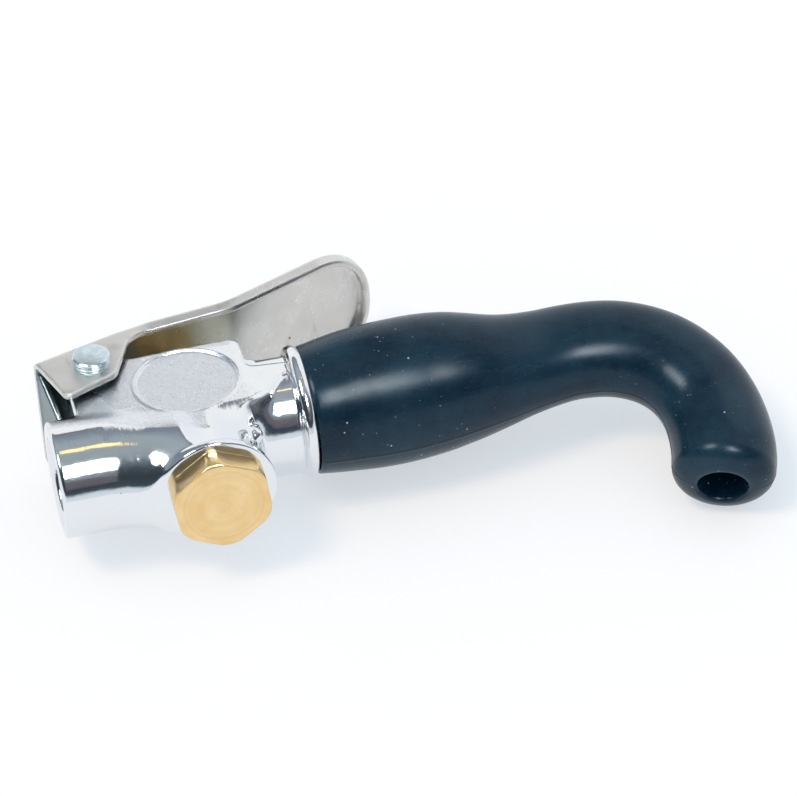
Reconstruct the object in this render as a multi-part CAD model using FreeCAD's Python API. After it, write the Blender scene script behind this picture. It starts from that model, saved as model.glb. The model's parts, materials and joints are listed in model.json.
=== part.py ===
import FreeCAD, Part
import math
import os

from FreeCAD import Vector as V

# A hand-held, lever-operated air and water valve gun with a curved rubber spout.
# Millimetres. The origin is the centre of the inlet's mouth. +X runs from the inlet to the spout,
# +Y from the brass cap to the lever, and +Z is square to the flat web, up as the gun lies.

# Casting
inlet_r = 11.9
inlet_bore_r = 8.2
inlet_thread_length = 13.0
inlet_edge = 0.9
body_length = 53.5
neck_rise = 7.64
neck_r = 12.4
bead_r = 13.5
bead_width = 3.2
web_half = 11.0
web_back = 22.2
web_end_back = 10.1
web_low_back = 13.6
web_low_y = -2.3
web_low_r = 2.0
web_end_r = 6.0
web_corner_r = 2.6
shelf_back = 5.73
shelf_corner_r = 0.8
chamber_x = 31.4
chamber_side_y = -6.0
inlet_side_x = 15.7
chamber_r = 10.8
chamber_face = -13.6
flange_r = 12.1
flange_thickness = 1.8
flange_flare = 1.8
web_edge_r = 0.8
neck_blend_r = 2.4
neck_root_length = 5.0
neck_root_back = 6.0
neck_root_sink = 0.5
bead_blend_r = 2.0
bead_flat = 0.3
inlet_fade_sink = 0.3
recess_r = 10.7
recess_depth = 0.45
recess_x = 30.4
recess_y = 11.3

# Valve, along the chamber's axis
chamber_bore_r = 8.0
seat_floor = 2.0
seat_insert_r = 6.4
seat_insert_height = 2.2
seat_hole_r = 3.6
seat_lip = 0.6
seat_lip_r = 4.4
seat_lip_flare = 0.3
gallery_r = 4.9
gallery_top = 12.4
passage_r = 3.3
feed_r = 4.0
feed_drop = 2.6
stem_r = 2.5
stem_thin_r = 1.8
stem_tip_gap = 0.3
stem_foot_gap = 0.2
stem_shoulder = 1.0
stem_round = 1.25
packing_r = 4.4
packing_height = 1.8
packing_floor = 13.4
gland_r = 5.2
gland_head_flats = 13.0
gland_head_height = 2.6
gland_chamfer = 0.5
disc_r = 5.6
disc_thickness = 2.4
holder_wall = 0.8
holder_floor = 1.4
holder_lip_drop = 0.7
spigot_r = 2.6
spigot_length = 1.6
cap_flats = 19.05
cap_head_height = 4.5
cap_face_inset = 0.35
cap_chamfer_slope = 1.9
cap_turn = 98.0
cap_thread_length = 6.0
cap_pocket_r = 5.4
cap_floor = 3.4
gasket_r = 9.0
gasket_thickness = 1.0
gasket_nip = 0.05

# Spring
spring_wire = 0.9
spring_r = 3.9
spring_turns = 5

# Lever
pivot_x = 12.3
pivot_y = 19.04
lug_r = 6.0
lug_flat = 4.2
lug_run = 9.0
lug_blend_r = 4.0
sheet = 1.5
cheek_gap = 0.35
bend_r = 2.2
pivot_slope = 17.5
middle_slope = 8.1
spoon_slope = 23.6
first_bend_r = 18.0
second_bend_r = 14.0
spine_offset = 8.7
lever_heel = 9.4
cheek_depth = 6.9
cheek_flat = 1.2
cheek_slant = 46.0
cheek_turn_r = 4.0
cheek_heel_r = 1.6
cheek_rim_r = 5.0
first_bend_x = 19.4
second_bend_x = 43.2
lever_tip_x = 75.5
rim_depth = 3.6
tab_drop = 2.75
tab_tip_half = 1.0
tab_shoulder = 0.8
tab_tip_flat = 0.4
tab_overlap = 0.05
shank_r = 2.5
rivet_head_r = 4.0
rivet_head_height = 1.6
rivet_head_round = 0.7
washer_thickness = 0.7
washer_r = 3.9

# Spout and its nipple
nipple_bore_r = 4.6
nipple_thread_r = 7.0
nipple_thread_length = 10.0
nipple_r = 7.8
barb_r = 8.5
barb_pitch = 8.0
barb_count = 4
barb_start = 2.8
barb_length = 4.8
barb_sink = 0.2
spout_twist = 21.0
spout_tilt = 2.3
spout_straight = 62.2
grip_start_r = 13.4
grip_lip_x = 3.0
grip_lip_r = 13.95
grip_swell_x = 10.0
grip_swell_r = 14.55
grip_r = 14.9
grip_widest = 20.0
throat_start = 30.0
throat_start_r = 14.3
throat_middle = 40.75
throat_middle_r = 12.1
throat_end = 51.5
throat_end_r = 10.2
throat_r = 10.0
spout_bend_r = 20.1
spout_bend_angle = 101.5
spout_tip_length = 15.5
spout_bore_r = 5.2
tip_swell_back = 10.1
tip_swell_r = 10.42
tip_widest_back = 5.4
tip_r = 10.8
tip_edge_r = 3.6
tip_shoulder_back = 2.35
tip_shoulder_r = 10.45
tip_lip_back = 0.8
tip_lip_r = 9.0

# Inlet strainer
strainer_pocket_r = 7.5
strainer_thickness = 0.5
strainer_hole_r = 0.5
strainer_pitch = 1.6
ring_width = 2.0
ring_thickness = 1.2

# Clearances, and how far a cut runs past the face that it opens
fit = 0.04
running_fit = 0.08
seal_gap = 0.1
face_gap = 0.05
hair = 0.01
past = 1.0
far = 80.0

spout_origin = V(body_length, neck_rise, 0)
neck_end = body_length + bead_width / 2
web_right = body_length - web_end_back
X = V(1, 0, 0)
Y = V(0, 1, 0)
Z = V(0, 0, 1)


def along_x(radius, x0, x1, y=0.0):
    return Part.makeCylinder(radius, x1 - x0, V(x0, y, 0), X)


def along_y(radius, y0, y1, x=chamber_x):
    return Part.makeCylinder(radius, y1 - y0, V(x, y0, 0), Y)


def along_z(radius, z0, z1, x=pivot_x, y=pivot_y):
    return Part.makeCylinder(radius, z1 - z0, V(x, y, z0), Z)


def tube_y(outer, inner, y0, y1):
    return along_y(outer, y0, y1).cut(along_y(inner, y0 - 1, y1 + 1))


def cone_y(r0, r1, y0, y1):
    return Part.makeCone(r0, r1, y1 - y0, V(chamber_x, y0, 0), Y)


def slope(degrees):
    return V(math.cos(math.radians(degrees)), math.sin(math.radians(degrees)), 0)


def square_to(direction):
    return V(-direction.y, direction.x, 0)


def meet(a, da, b, db):
    """The point where the line from a along da meets the line from b along db."""
    det = da.x * db.y - da.y * db.x
    k = ((b.x - a.x) * db.y - (b.y - a.y) * db.x) / det
    return a + da * k


def rounded_outline(corners, closed=True):
    """A wire through corners (point, radius), where each radius above 0 becomes a tangent arc."""
    count = len(corners)
    starts, ends, mids = [], [], []
    for i, (point, radius) in enumerate(corners):
        if radius <= 0 or (not closed and i in (0, count - 1)):
            starts.append(point)
            ends.append(point)
            mids.append(None)
            continue
        back = (corners[i - 1][0] - point).normalize()
        ahead = (corners[(i + 1) % count][0] - point).normalize()
        half = math.acos(max(-1.0, min(1.0, back.dot(ahead)))) / 2
        reach = radius / math.tan(half)
        middle = (back + ahead).normalize()
        centre = point + middle * (radius / math.sin(half))
        starts.append(point + back * reach)
        ends.append(point + ahead * reach)
        mids.append(centre - middle * radius)
    edges = []
    for i in range(count):
        if mids[i] is not None:
            edges.append(Part.Arc(starts[i], mids[i], ends[i]).toShape())
        if i + 1 < count or closed:
            following = starts[(i + 1) % count]
            if (following - ends[i]).Length > 1e-6:
                edges.append(Part.LineSegment(ends[i], following).toShape())
    return Part.Wire(edges)


def slab(corners, half):
    """The outline's area, from -half to +half in Z."""
    face = Part.Face(rounded_outline(corners))
    face.translate(V(0, 0, -half))
    return face.extrude(V(0, 0, 2 * half))


def hexagon_y(flats, y0, y1, turn=0.0):
    corner = flats / math.sqrt(3)
    points = []
    for k in range(7):
        angle = math.radians(turn + 60 * k)
        points.append(V(chamber_x + corner * math.cos(angle), y0, corner * math.sin(angle)))
    return Part.Face(Part.makePolygon(points)).extrude(V(0, y1 - y0, 0))


def edges_where(shape, keep):
    return [edge for edge in shape.Edges if keep(edge)]


# Places that several pieces share
heel_dir = slope(pivot_slope)
heel_up = square_to(heel_dir)
middle_dir = slope(middle_slope)
spoon_dir = slope(spoon_slope)
pivot = V(pivot_x, pivot_y, 0)
spine_start = pivot - heel_dir * lever_heel + heel_up * spine_offset
first_bend = meet(spine_start, heel_dir, V(first_bend_x, 0, 0), Y)
second_bend = meet(first_bend, middle_dir, V(second_bend_x, 0, 0), Y)
lever_tip = meet(second_bend, spoon_dir, V(lever_tip_x, 0, 0), Y)
lever_half = web_half + cheek_gap + sheet
lever_inner_half = web_half + cheek_gap
spine_inner = first_bend - square_to(middle_dir) * sheet
stem_tip = meet(spine_inner, middle_dir, V(chamber_x, 0, 0), Y).y - stem_tip_gap
disc_top = seat_floor - seat_lip - seal_gap
holder_back = disc_top - disc_thickness - holder_floor
cap_face = chamber_face - cap_head_height
cap_end = chamber_face + cap_thread_length
cap_pocket_floor = cap_face + cap_floor
gland_bottom = packing_floor + packing_height + face_gap
gasket_back = chamber_face + gasket_thickness - gasket_nip
ring_start = inlet_thread_length + face_gap
strainer_start = ring_start + ring_thickness
strainer_floor = strainer_start + strainer_thickness + face_gap


def valve_body():
    lug_left = pivot_x - lug_r
    lug_top = pivot_y + lug_r
    outline = [
        (V(0, 0, 0), 0),
        (V(0, shelf_back, 0), 0),
        (V(lug_left, shelf_back, 0), shelf_corner_r),
        (V(lug_left, lug_top, 0), lug_r - hair),
        (V(pivot_x + lug_flat, lug_top, 0), lug_blend_r),
        (V(pivot_x + lug_run, web_back, 0), lug_blend_r),
        (V(web_right, web_back, 0), web_corner_r),
        (V(web_right, neck_rise, 0), web_end_r),
        (V(body_length - web_low_back, web_low_y, 0), web_low_r),
        (V(chamber_x, chamber_side_y, 0), 0),
        (V(inlet_side_x, 0, 0), 0),
    ]
    body = slab(outline, web_half)
    fade = chamber_x - chamber_bore_r
    inlet = along_x(inlet_r, 0, fade)
    inlet = inlet.makeChamfer(inlet_edge, edges_where(inlet, lambda e: e.BoundBox.XMax < hair))
    inlet_fade = Part.makeCone(inlet_r, web_half - inlet_fade_sink, chamber_x - fade, V(fade, 0, 0), X)
    boss = along_y(chamber_r, chamber_face, neck_rise)
    flange_back = chamber_face + flange_thickness
    flange = along_y(flange_r, chamber_face, flange_back)
    flare = cone_y(flange_r - hair, chamber_r, flange_back, flange_back + flange_flare)
    neck = along_x(neck_r, web_right - past, body_length, neck_rise)
    root_start = V(web_right - neck_root_back, neck_rise, 0)
    root = Part.makeCone(web_half - neck_root_sink, neck_r, neck_root_length, root_start, X)
    bead = along_x(bead_r, body_length - bead_width / 2, neck_end, neck_rise)
    round_over = (bead_width - bead_flat) / 2
    bead = bead.makeFillet(round_over, edges_where(bead, lambda e: e.BoundBox.XLength < hair))
    body = body.fuse([inlet, inlet_fade, boss, flange, flare, neck, root, bead]).removeSplitter()
    body = body.makeFillet(bead_blend_r, edges_where(body, meets_bead))
    body = body.makeFillet(neck_blend_r, edges_where(body, meets_web_end))
    body = body.makeFillet(web_edge_r, edges_where(body, on_web_rim))
    body = body.cut(along_x(inlet_bore_r, -past, inlet_thread_length))
    body = body.cut(along_x(strainer_pocket_r, inlet_thread_length - past, strainer_floor))
    body = body.cut(along_x(feed_r, strainer_floor - past, chamber_x, -feed_drop))
    body = body.cut(along_y(chamber_bore_r, chamber_face - past, seat_floor))
    body = body.cut(along_y(gasket_r + fit, chamber_face - past, gasket_back))
    body = body.cut(along_y(seat_insert_r + fit, seat_floor - past, seat_floor + seat_insert_height))
    body = body.cut(along_y(gallery_r, seat_floor, gallery_top))
    body = body.cut(along_y(stem_r + running_fit, gallery_top - past, web_back))
    body = body.cut(along_y(packing_r + fit, packing_floor, web_back))
    body = body.cut(along_y(gland_r + fit, packing_floor + packing_height, web_back + past))
    body = body.cut(along_x(passage_r, chamber_x, body_length, neck_rise))
    thread_start = neck_end - nipple_thread_length
    body = body.cut(along_x(nipple_thread_r + fit, thread_start, neck_end + past, neck_rise))
    body = body.cut(along_z(shank_r + fit, -web_half - past, web_half + past))
    return body.cut(along_z(recess_r, web_half - recess_depth, web_half + past, recess_x, recess_y))


def meets_bead(edge):
    """True for the circle where the neck runs into its bead."""
    middle = edge.CenterOfMass
    return edge.BoundBox.XLength < 0.01 and abs(middle.x - body_length + bead_width / 2) < 0.1


def meets_web_end(edge):
    """True for the upper arc where the neck runs out of the web's end."""
    middle = edge.CenterOfMass
    at_end = edge.BoundBox.XLength < 0.1 and abs(middle.x - web_right) < 0.1
    above = middle.y > neck_rise + neck_r / 2
    return at_end and above and edge.BoundBox.ZLength > neck_r / 2


def on_web_rim(edge):
    """True for the web's outer edges, from the inlet's shelf round the lug to the neck."""
    middle = edge.CenterOfMass
    if edge.BoundBox.ZLength > 0.01 or abs(abs(middle.z) - web_half) > 0.01:
        return False
    on_lug = middle.x < pivot_x and middle.y > shelf_back - 0.1 and middle.x > inlet_edge
    at_back = middle.y > web_back - web_corner_r
    at_end = middle.x > web_right - 0.01 and middle.y > neck_rise + web_corner_r
    return on_lug or at_back or at_end


def lever():
    out = square_to(spoon_dir)
    tip_over = lever_tip + spoon_dir * lever_half
    rim_line = second_bend - square_to(middle_dir) * rim_depth
    rim_turn = meet(rim_line, middle_dir, lever_tip - out * rim_depth, spoon_dir)
    corner = pivot - heel_up * cheek_depth
    cheek_turn = corner + heel_dir * cheek_flat
    slant = slope(pivot_slope + cheek_slant)
    outline = [
        (spine_start, 0),
        (first_bend, first_bend_r),
        (second_bend, second_bend_r),
        (tip_over, 0),
        (tip_over - out * rim_depth, 0),
        (rim_turn, second_bend_r + rim_depth),
        (meet(cheek_turn, slant, rim_line, middle_dir), cheek_rim_r),
        (cheek_turn, cheek_turn_r),
        (corner - heel_dir * lever_heel, cheek_heel_r),
    ]
    outer = slab(outline, lever_half)
    end_centre = lever_tip - spoon_dir * lever_half
    outer = outer.cut(round_end_waste(end_centre, out, lever_half))
    outer = outer.makeFillet(bend_r, edges_where(outer, lambda e: on_spine(e) and not runs_across(e)))
    behind = spine_start - heel_dir * lever_heel
    hollow = [
        (behind - heel_up * sheet, 0),
        (meet(spine_start - heel_up * sheet, heel_dir, spine_inner, middle_dir), first_bend_r - sheet),
        (meet(spine_inner, middle_dir, lever_tip - out * sheet, spoon_dir), second_bend_r + sheet),
        (tip_over - out * sheet, 0),
        (tip_over - out * far, 0),
        (behind - heel_up * far, 0),
    ]
    inner = slab(hollow, lever_inner_half)
    inner = inner.cut(round_end_waste(end_centre, out, lever_inner_half))
    shape = outer.cut(inner)
    shape = shape.fuse(heel_tab()).removeSplitter()
    return shape.cut(along_z(shank_r + fit, -lever_half - past, lever_half + past))


def runs_across(edge):
    """True for a straight edge along Z."""
    return edge.BoundBox.ZLength > edge.Length - hair


def on_spine(edge):
    """True for an edge that lies on the spine's outer skin."""
    for vertex in edge.Vertexes:
        p = vertex.Point
        flat = V(p.x, p.y, 0)
        gaps = [
            abs((flat - spine_start).dot(heel_up)),
            abs((flat - first_bend).dot(square_to(middle_dir))),
            abs((flat - second_bend).dot(square_to(spoon_dir))),
        ]
        if min(gaps) > 0.05:
            return False
    return True


def round_end_waste(centre, out, radius):
    """What lies past the spoon's half-round end."""
    corner = centre - out * far - Z * far
    wide = out * 2 * far
    tall = Z * 2 * far
    sides = [corner, corner + wide, corner + wide + tall, corner + tall, corner]
    beyond = Part.Face(Part.makePolygon(sides)).extrude(spoon_dir * far)
    return beyond.cut(Part.makeCylinder(radius, 2 * far, centre - out * far, out))


def heel_tab():
    """The tongue at the lever's heel, which stops on the lug when the lever is released."""
    top = spine_start - heel_up * (sheet / 2)
    tip = pivot - heel_dir * lever_heel - heel_up * tab_drop
    half = lever_inner_half + tab_overlap
    corners = [
        top + Z * half,
        tip + Z * tab_tip_half + heel_up * tab_shoulder,
        tip + Z * tab_tip_flat,
        tip - Z * tab_tip_flat,
        tip - Z * tab_tip_half + heel_up * tab_shoulder,
        top - Z * half,
    ]
    face = Part.Face(Part.makePolygon(corners + corners[:1]))
    return face.extrude(heel_dir * sheet)


def lever_rivet():
    under = lever_half + face_gap + washer_thickness
    shape = along_z(shank_r, -under, under)
    for side in (1, -1):
        head = Part.makeCylinder(rivet_head_r, rivet_head_height, pivot + Z * (under * side), Z * side)
        crown = edges_where(head, lambda e: abs(abs(e.CenterOfMass.z) - under - rivet_head_height) < hair)
        shape = shape.fuse(head.makeFillet(rivet_head_round, crown))
    return shape.removeSplitter()


def rivet_washers():
    washers = []
    for side in (1, -1):
        base = pivot + Z * ((lever_half + face_gap) * side)
        disc = Part.makeCylinder(washer_r, washer_thickness, base, Z * side)
        washers.append(disc.cut(along_z(shank_r + fit, -far, far)))
    return Part.makeCompound(washers)


def valve_cap():
    head = hexagon_y(cap_flats, cap_face, chamber_face, cap_turn)
    corner = cap_flats / math.sqrt(3)
    face_r = cap_flats / 2 - cap_face_inset
    lathe = cone_y(face_r, face_r + cap_head_height * cap_chamfer_slope, cap_face, chamber_face)
    whole = along_y(corner + past, chamber_face - cap_head_height / 2, chamber_face)
    head = head.common(lathe.fuse(whole))
    shape = head.fuse(along_y(chamber_bore_r - fit, chamber_face, cap_end)).removeSplitter()
    return shape.cut(along_y(cap_pocket_r, cap_pocket_floor, cap_end + past))


def cap_gasket():
    return tube_y(gasket_r, chamber_bore_r + fit, chamber_face, gasket_back)


def valve_seat():
    ring = along_y(seat_insert_r, seat_floor, seat_floor + seat_insert_height - face_gap)
    crest = seat_floor - seat_lip
    lip = cone_y(seat_lip_r - seat_lip_flare, seat_lip_r + seat_lip_flare, crest, seat_floor)
    hole = along_y(seat_hole_r, crest - past, seat_floor + seat_insert_height + past)
    return ring.fuse(lip).removeSplitter().cut(hole)


def valve_stem():
    shoulder = seat_floor + seat_insert_height + stem_shoulder
    thin = along_y(stem_thin_r, holder_back + stem_foot_gap, shoulder)
    thick = along_y(stem_r, shoulder, stem_tip)
    crown = edges_where(thick, lambda e: e.BoundBox.YMin > stem_tip - hair)
    return thin.fuse(thick.makeFillet(stem_round, crown)).removeSplitter()


def disc_holder():
    cup = along_y(disc_r + holder_wall, holder_back, disc_top - holder_lip_drop)
    cup = cup.cut(along_y(disc_r + fit, holder_back + holder_floor, disc_top + past))
    spigot = along_y(spigot_r, holder_back - spigot_length, holder_back)
    socket = along_y(stem_thin_r + fit, holder_back + stem_foot_gap - fit, disc_top + past)
    return cup.fuse(spigot).removeSplitter().cut(socket)


def valve_disc():
    return tube_y(disc_r, stem_thin_r + fit, holder_back + holder_floor, disc_top)


def stem_packing():
    centre_r = (packing_r + stem_r + fit) / 2
    section_r = (packing_height - fit) / 2
    ring = Part.makeTorus(centre_r, section_r, V(chamber_x, packing_floor + packing_height / 2, 0), Y)
    groove = tube_y(packing_r, stem_r + running_fit, packing_floor, packing_floor + packing_height)
    return ring.common(groove)


def gland_bush():
    shank = along_y(gland_r, gland_bottom, web_back)
    head = hexagon_y(gland_head_flats, web_back, web_back + gland_head_height, 30)
    turned = gland_head_flats / math.sqrt(3)
    gland_top = web_back + gland_head_height
    lathe = cone_y(turned + gland_head_height, turned - gland_chamfer, web_back, gland_top)
    bore = along_y(stem_r + running_fit, gland_bottom - past, gland_top + past)
    return shank.fuse(head.common(lathe)).removeSplitter().cut(bore)


def biarc(p0, t0, p1, t1):
    """Two arcs that leave p0 along t0 and reach p1 along t1, tangent where they meet."""
    chord = p1 - p0
    both = t0 + t1
    a = 2 * (1 - t0.dot(t1))
    b = 2 * chord.dot(both)
    reach = (-b + math.sqrt(b * b + 4 * a * chord.dot(chord))) / (2 * a)
    q0 = p0 + t0 * reach
    q1 = p1 - t1 * reach
    joint = (q0 + q1) * 0.5
    return [arc_between(p0, q0, joint), arc_between(joint, q1, p1)]


def arc_between(start, corner, end):
    back = (start - corner).normalize()
    ahead = (end - corner).normalize()
    half = math.acos(max(-1.0, min(1.0, back.dot(ahead)))) / 2
    reach = (start - corner).Length
    radius = reach * math.tan(half)
    middle = (back + ahead).normalize()
    return Part.Arc(start, corner + middle * (radius / math.sin(half) - radius), end).toShape()


def valve_spring():
    low = cap_pocket_floor + spring_wire / 2 + face_gap
    high = holder_back - spring_wire / 2 - face_gap
    pitch = (high - low) / spring_turns
    steps = 4 * spring_turns

    def place(k):
        angle = math.pi / 2 * k
        return V(chamber_x + spring_r * math.cos(angle), low + pitch * k / 4, spring_r * math.sin(angle))

    def heading(k):
        angle = math.pi / 2 * k
        rise = pitch / (2 * math.pi)
        return V(-spring_r * math.sin(angle), rise, spring_r * math.cos(angle)).normalize()

    edges = []
    for k in range(steps):
        edges += biarc(place(k), heading(k), place(k + 1), heading(k + 1))
    print("spring: pitch %.2f, gap between turns %.2f mm" % (pitch, pitch - spring_wire))
    path = Part.Wire(edges)
    section = Part.Wire(Part.makeCircle(spring_wire / 2, place(0), heading(0)))
    return path.makePipeShell([section], True, False)


def spout_nipple():
    x0 = neck_end - nipple_thread_length + face_gap
    shape = along_x(nipple_thread_r, x0, neck_end, neck_rise)
    end = neck_end + barb_count * barb_pitch
    shape = shape.fuse(along_x(nipple_r, neck_end + face_gap, end, neck_rise))
    shape = shape.fuse(along_x(nipple_thread_r, neck_end - past, neck_end + past, neck_rise))
    for k in range(barb_count):
        foot = V(neck_end + barb_start + barb_pitch * k, neck_rise, 0)
        shape = shape.fuse(Part.makeCone(barb_r, nipple_r - barb_sink, barb_length, foot, X))
    return shape.removeSplitter().cut(along_x(nipple_bore_r, x0 - past, end + past, neck_rise))


def spun(points, origin, direction, side):
    """A solid of revolution from profile points (along, radius) about a line."""
    at = [origin + direction * a + side * r for a, r in points]
    curve = Part.BSplineCurve()
    curve.interpolate(at)
    edges = [curve.toShape()]
    last = origin + direction * points[-1][0]
    first = origin + direction * points[0][0]
    edges.append(Part.LineSegment(at[-1], last).toShape())
    edges.append(Part.LineSegment(last, first).toShape())
    edges.append(Part.LineSegment(first, at[0]).toShape())
    return Part.Face(Part.Wire(edges)).revolve(origin, direction, 360)


def spout_places():
    """Where the spout's straight grip, bend and tip begin, in its own flat plane."""
    along = slope(spout_tilt)
    up = square_to(along)
    bend_start = along * spout_straight
    centre = bend_start - up * spout_bend_r
    turn = math.radians(spout_tilt - spout_bend_angle)
    tip_dir = V(math.cos(turn), math.sin(turn), 0)
    bend_end = centre + square_to(tip_dir) * spout_bend_r
    return along, up, bend_start, centre, bend_end, tip_dir


def bent_rod(radius):
    along, up, bend_start, centre, bend_end, tip_dir = spout_places()
    circle = Part.Face(Part.Wire(Part.makeCircle(radius, bend_start, along)))
    return circle.revolve(centre, V(0, 0, -1), spout_bend_angle)


def rubber_spout():
    along, up, bend_start, centre, bend_end, tip_dir = spout_places()
    grip = spun([
        (0, grip_start_r),
        (grip_lip_x, grip_lip_r),
        (grip_swell_x, grip_swell_r),
        (grip_widest, grip_r),
        (throat_start, throat_start_r),
        (throat_middle, throat_middle_r),
        (throat_end, throat_end_r),
        (spout_straight, throat_r),
    ], V(0, 0, 0), along, up)
    tip_side = square_to(tip_dir)
    tip = spun([
        (0, throat_r),
        (spout_tip_length - tip_swell_back, tip_swell_r),
        (spout_tip_length - tip_widest_back, tip_r),
        (spout_tip_length - tip_shoulder_back, tip_shoulder_r),
        (spout_tip_length - tip_lip_back, tip_lip_r),
        (spout_tip_length, tip_r - tip_edge_r),
    ], bend_end, tip_dir, tip_side)
    shape = grip.fuse([bent_rod(throat_r), tip]).removeSplitter()
    bore = Part.makeCylinder(spout_bore_r, spout_straight + 2 * past, along * (-2 * past), along)
    mouth = Part.makeCylinder(spout_bore_r, spout_tip_length + past, bend_end, tip_dir)
    shape = shape.cut(bore.fuse([bent_rod(spout_bore_r), mouth]))
    shape.rotate(V(0, 0, 0), X, spout_twist)
    shape.translate(spout_origin)
    before = V(neck_end + face_gap - far, neck_rise - far / 2, -far / 2)
    shape = shape.cut(Part.makeBox(far, far, far, before))
    nipple_end = neck_end + barb_count * barb_pitch
    through = along_x(nipple_bore_r + hair, neck_end - past, nipple_end, neck_rise)
    return shape.cut(spout_nipple()).cut(through)


def inlet_strainer():
    x0 = strainer_start
    disc = along_x(strainer_pocket_r - fit, x0, x0 + strainer_thickness)
    reach = strainer_pocket_r - ring_width - strainer_hole_r
    count = int(reach / strainer_pitch) + 1
    holes = []
    for i in range(-2 * count, 2 * count + 1):
        for j in range(-count, count + 1):
            y = (i + j / 2) * strainer_pitch
            z = j * strainer_pitch * math.sqrt(3) / 2
            if math.hypot(y, z) < reach:
                holes.append(along_x(strainer_hole_r, x0 - past, x0 + past, y).translated(V(0, 0, z)))
    return disc.cut(Part.makeCompound(holes))


def strainer_ring():
    ring = along_x(strainer_pocket_r - fit, ring_start, ring_start + ring_thickness - face_gap / 2)
    return ring.cut(along_x(strainer_pocket_r - ring_width, 0, strainer_floor))


nodes = {
    "valve_body": valve_body,
    "lever": lever,
    "lever_rivet": lever_rivet,
    "rivet_washers": rivet_washers,
    "valve_cap": valve_cap,
    "cap_gasket": cap_gasket,
    "valve_seat": valve_seat,
    "valve_stem": valve_stem,
    "disc_holder": disc_holder,
    "valve_disc": valve_disc,
    "stem_packing": stem_packing,
    "gland_bush": gland_bush,
    "valve_spring": valve_spring,
    "spout_nipple": spout_nipple,
    "rubber_spout": rubber_spout,
    "inlet_strainer": inlet_strainer,
    "strainer_ring": strainer_ring,
}

os.makedirs("parts", exist_ok=True)
for name, make in nodes.items():
    shape = make()
    shape.exportStep("parts/%s.step" % name)
    box = shape.BoundBox
    print("%-16s solids %d valid %s volume %9.2f  x %7.2f %7.2f  y %7.2f %7.2f  z %7.2f %7.2f" % (
        name, len(shape.Solids), shape.isValid(), shape.Volume,
        box.XMin, box.XMax, box.YMin, box.YMax, box.ZMin, box.ZMax))
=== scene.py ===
import json
import math

import bpy
import numpy as np
from mathutils import Matrix, Vector

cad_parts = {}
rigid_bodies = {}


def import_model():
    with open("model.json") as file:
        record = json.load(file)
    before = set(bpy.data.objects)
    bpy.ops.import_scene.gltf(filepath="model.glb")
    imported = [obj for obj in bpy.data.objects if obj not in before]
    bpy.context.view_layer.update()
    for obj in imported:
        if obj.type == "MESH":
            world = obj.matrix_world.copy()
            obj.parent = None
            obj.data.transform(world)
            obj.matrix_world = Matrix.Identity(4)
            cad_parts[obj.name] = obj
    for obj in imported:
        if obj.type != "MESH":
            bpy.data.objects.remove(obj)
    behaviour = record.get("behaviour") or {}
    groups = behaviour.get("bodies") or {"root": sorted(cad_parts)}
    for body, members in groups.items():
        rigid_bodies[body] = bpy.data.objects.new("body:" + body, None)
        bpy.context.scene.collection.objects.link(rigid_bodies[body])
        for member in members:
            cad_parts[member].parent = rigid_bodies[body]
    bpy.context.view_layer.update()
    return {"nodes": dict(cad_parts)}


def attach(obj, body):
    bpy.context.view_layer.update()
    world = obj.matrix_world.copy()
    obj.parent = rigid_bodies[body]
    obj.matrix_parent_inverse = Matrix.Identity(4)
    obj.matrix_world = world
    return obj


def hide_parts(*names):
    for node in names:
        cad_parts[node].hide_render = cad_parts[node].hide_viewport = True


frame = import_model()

scene = bpy.context.scene
MM = 0.001

# Sizes in millimetres, in the part's frame: the origin is the middle of the inlet's mouth, +X runs to
# the spout, +Y from the brass cap to the lever, and +Z is square to the web.

# From the inlet's mouth to the end of the neck, where the rubber's own line starts
BODY = 53.5
# The neck's and the rubber's axis above the inlet's axis
RISE = 7.64
# The axis of the valve chamber, which runs along Y, and the face of its flange
CHAMBER_X = 31.4
FLANGE_Y = -13.6
# Half the web's thickness
WEB = 11.0
# The lever's rivet, which runs along Z
PIVOT = (12.3, 19.04)
RIVET_HOLE = 2.54
# The round recess on the web
RECESS = (30.4, 11.3)
RECESS_R = 10.55
# Where the camera stands, and the direction to it
CAMERA_AT = (-65.536, -720.569, 544.355)
TO_CAMERA = Vector(CAMERA_AT).normalized()
# The normal of the table that the gun lies on
TABLE = (0.0207, -0.1632, 0.9864)


# Distance fields. A point set is a tuple of three arrays that broadcast together, and a field is
# negative inside its shape.

def join(a, b, k):
    """The nearer of two shapes, blended over k."""
    h = np.maximum(k - np.abs(a - b), 0) / k
    return np.minimum(a, b) - h * h * k / 4


def trim(a, b, k):
    """What two shapes share, with the edge rounded over k."""
    return -join(-a, -b, k)


def corner(u, v):
    """The distance to the quarter where both u and v are negative, round outside its edge."""
    return np.minimum(np.maximum(u, v), 0) + np.sqrt(np.maximum(u, 0) ** 2 + np.maximum(v, 0) ** 2)


def rod(p, axis, r, low, high, centre=(0.0, 0.0), edge=0.3):
    """A cylinder along an axis, from low to high, with rounded rims."""
    across = [i for i in range(3) if i != axis]
    radial = np.sqrt((p[across[0]] - centre[0]) ** 2 + (p[across[1]] - centre[1]) ** 2) - r
    axial = np.abs(p[axis] - (low + high) / 2) - (high - low) / 2
    return corner(radial + edge, axial + edge) - edge


def unit(v):
    return v / np.linalg.norm(v)


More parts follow.
